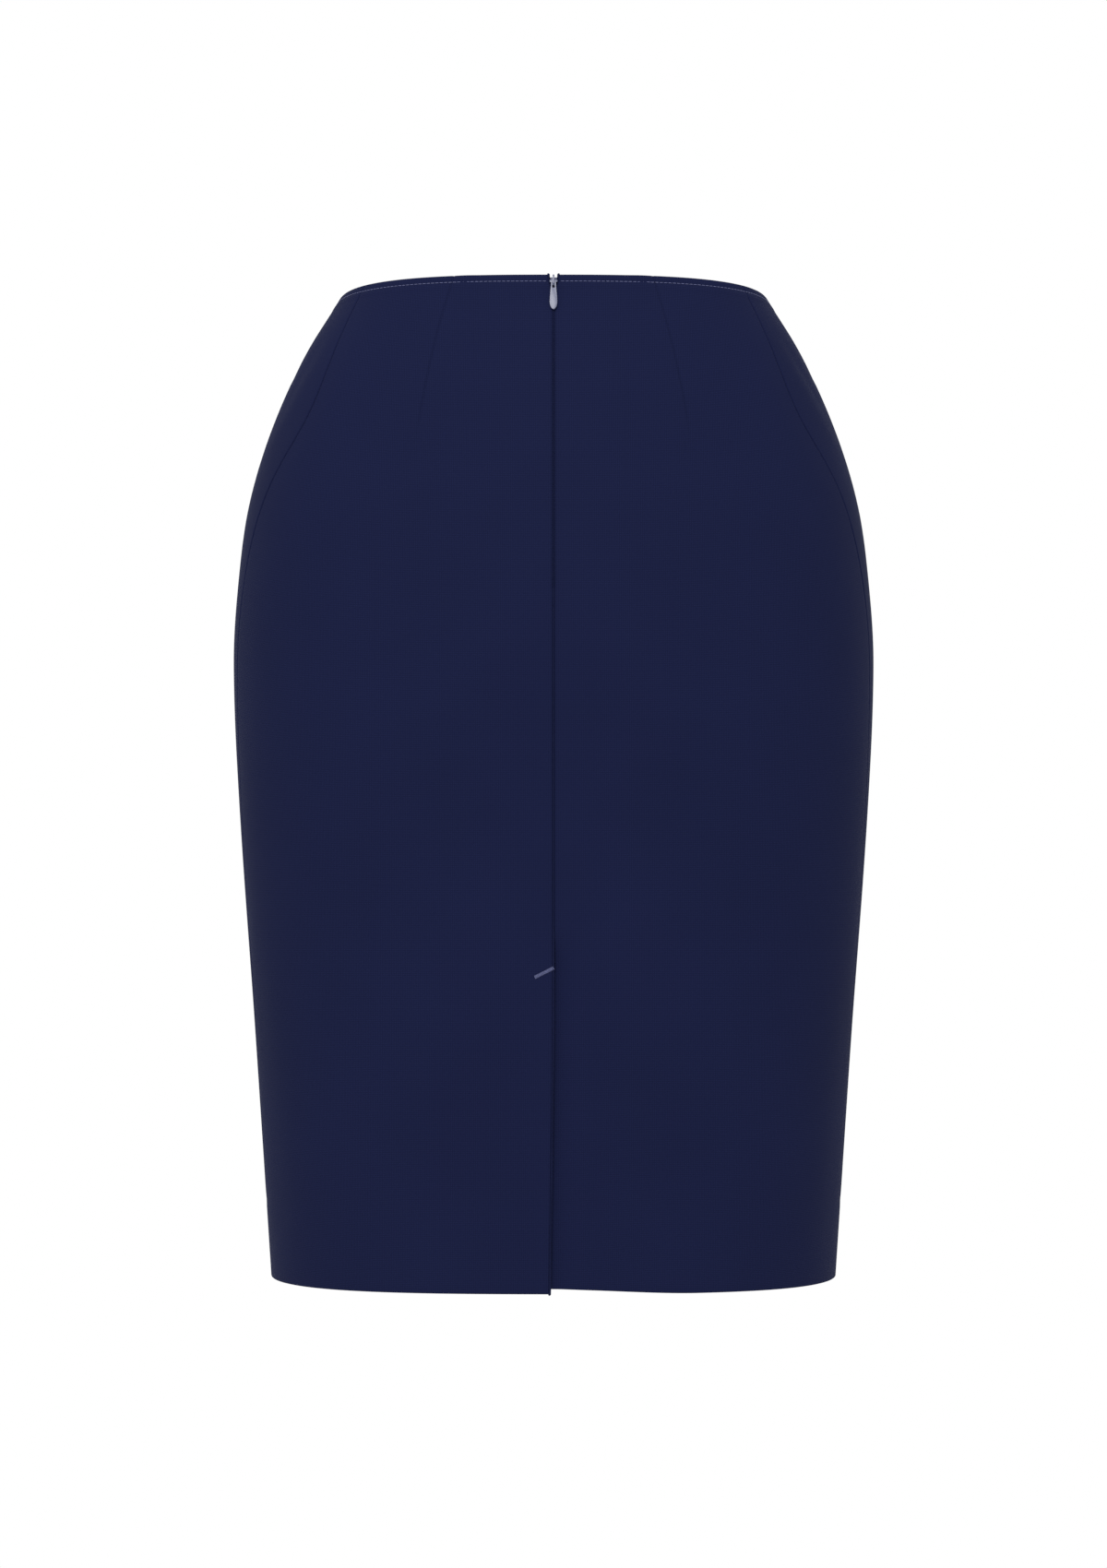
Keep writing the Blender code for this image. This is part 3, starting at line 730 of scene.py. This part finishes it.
class SKIRT_OT_zip(bpy.types.Operator):
    """Make the zip: coil teeth, slider, pull tab and the finish of its tapes"""

    bl_idname = "skirt.zip"
    bl_label = "Zip"

    def execute(self, context):
        settings = settings_of(context)
        # Baked enamel on die-cast zinc: smooth, with a broad soft highlight.
        enamel = speckled("satin_enamel_on_zinc", list(settings.enamel), 0.35, 0.5, 1500.0, 0.05)
        # Woven polyester tape: matt and flat. Nylon coil: smoother, with small glints.
        tape = speckled("woven_polyester_tape", linear("#1b1e33"), 0.85, 0.1, 2500.0, 0.4)
        nylon = speckled("dyed_nylon_coil", linear("#15182a"), 0.5, 0.3, 3000.0, 0.1)
        for node in ("zip_tape_left", "zip_tape_right"):
            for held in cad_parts[node].material_slots:
                held.material = tape
        levels = np.arange(11 * MM, ZIP_LENGTH + 8 * MM, 0.64 * MM)
        centres, normal = centre_places(levels, 0.0, np.full(len(levels), 2.9 * MM))
        centres[:, 0] += np.where(np.arange(len(levels)) % 2, 1.4 * MM, -1.4 * MM)
        sideways = np.tile([1.0, 0.0, 0.0], (len(levels), 1))
        make_stitches("zip_coil", centres, sideways, normal, 3.2 * MM, 0.3 * MM, nylon)
        for name, node, body, soften in (("slider_metal", "zip_slider", "skirt", 0.12 * MM),
                                         ("pull_tab_metal", "zip_pull", "pull_tab", 0.2 * MM)):
            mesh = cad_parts[node].data.copy()
            piece = add_piece(name, mesh, enamel, body)
            only(piece)
            bpy.ops.object.mode_set(mode="EDIT")
            bpy.ops.mesh.select_all(action="SELECT")
            bpy.ops.mesh.remove_doubles(threshold=0.005 * MM)
            bpy.ops.mesh.dissolve_limited(angle_limit=math.radians(2))
            bpy.ops.object.mode_set(mode="OBJECT")
            bevel = piece.modifiers.new("softened", "BEVEL")
            bevel.width = soften
            bevel.segments = 3
            bevel.limit_method = "ANGLE"
            bevel.angle_limit = math.radians(40)
            apply_all(piece)
            bpy.ops.object.shade_smooth_by_angle(angle=math.radians(35))
            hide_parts(node)
        return {"FINISHED"}


class SKIRT_OT_studio(bpy.types.Operator):
    """Make the floor, the lights and the camera"""

    bl_idname = "skirt.studio"
    bl_label = "Studio"

    def execute(self, context):
        settings = settings_of(context)
        bpy.ops.object.select_all(action="DESELECT")
        bpy.ops.mesh.primitive_plane_add(size=2.2, location=(0, 0, 0))
        floor = bpy.context.active_object
        floor.name = "floor"
        floor.data.transform(floor.matrix_world)
        for vert in floor.data.vertices:
            vert.co.z = FLOOR_HEIGHT
        floor.data.materials.append(speckled("white_paper", list(settings.white), 0.9, 0.1, 40.0, 0.02))
        world = bpy.data.worlds.new("studio")
        world.use_nodes = True
        world.node_tree.nodes["Background"].inputs[0].default_value = (1, 1, 1, 1)
        world.node_tree.nodes["Background"].inputs[1].default_value = 1.0
        context.scene.world = world
        for lamp in LAMPS:
            data = bpy.data.lights.new(lamp.name, "AREA")
            data.size = lamp.size
            data.energy = lamp.watts
            light = bpy.data.objects.new(lamp.name, data)
            light.location = lamp.place
            light.rotation_euler = [math.radians(turn) for turn in lamp.turn]
            context.scene.collection.objects.link(light)
        lens = bpy.data.cameras.new("camera")
        lens.sensor_width = 36.0
        lens.lens = CAMERA_LENS
        camera = bpy.data.objects.new("camera", lens)
        camera.location = CAMERA_PLACE
        camera.rotation_euler = (math.radians(CAMERA_TILT), 0.0, math.pi)
        context.scene.collection.objects.link(camera)
        context.scene.camera = camera
        context.scene.view_settings.view_transform = "Standard"
        return {"FINISHED"}


class SKIRT_PT_pieces(bpy.types.Panel):
    """The skirt's settings and pieces, in the 3D view's sidebar"""

    bl_idname = "SKIRT_PT_pieces"
    bl_label = "Pencil skirt"
    bl_space_type = "VIEW_3D"
    bl_region_type = "UI"
    bl_category = "Skirt"

    def draw(self, context):
        for name in SkirtSettings.__annotations__:
            self.layout.prop(settings_of(context), name)
        for operator in OPERATORS:
            self.layout.operator(operator.bl_idname)


OPERATORS = (SKIRT_OT_front, SKIRT_OT_backs, SKIRT_OT_stitches, SKIRT_OT_zip, SKIRT_OT_studio)
CLASSES = (SkirtSettings, *OPERATORS, SKIRT_PT_pieces)


def register():
    for made in CLASSES:
        bpy.utils.register_class(made)
    bpy.types.Scene.skirt_settings = PointerProperty(type=SkirtSettings)


def unregister():
    del bpy.types.Scene.skirt_settings
    for made in reversed(CLASSES):
        bpy.utils.unregister_class(made)


def main():
    register()
    bpy.ops.skirt.front()
    bpy.ops.skirt.backs()
    bpy.ops.skirt.stitches()
    bpy.ops.skirt.zip()
    bpy.ops.skirt.studio()
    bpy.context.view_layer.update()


if __name__ == "__main__":
    main()
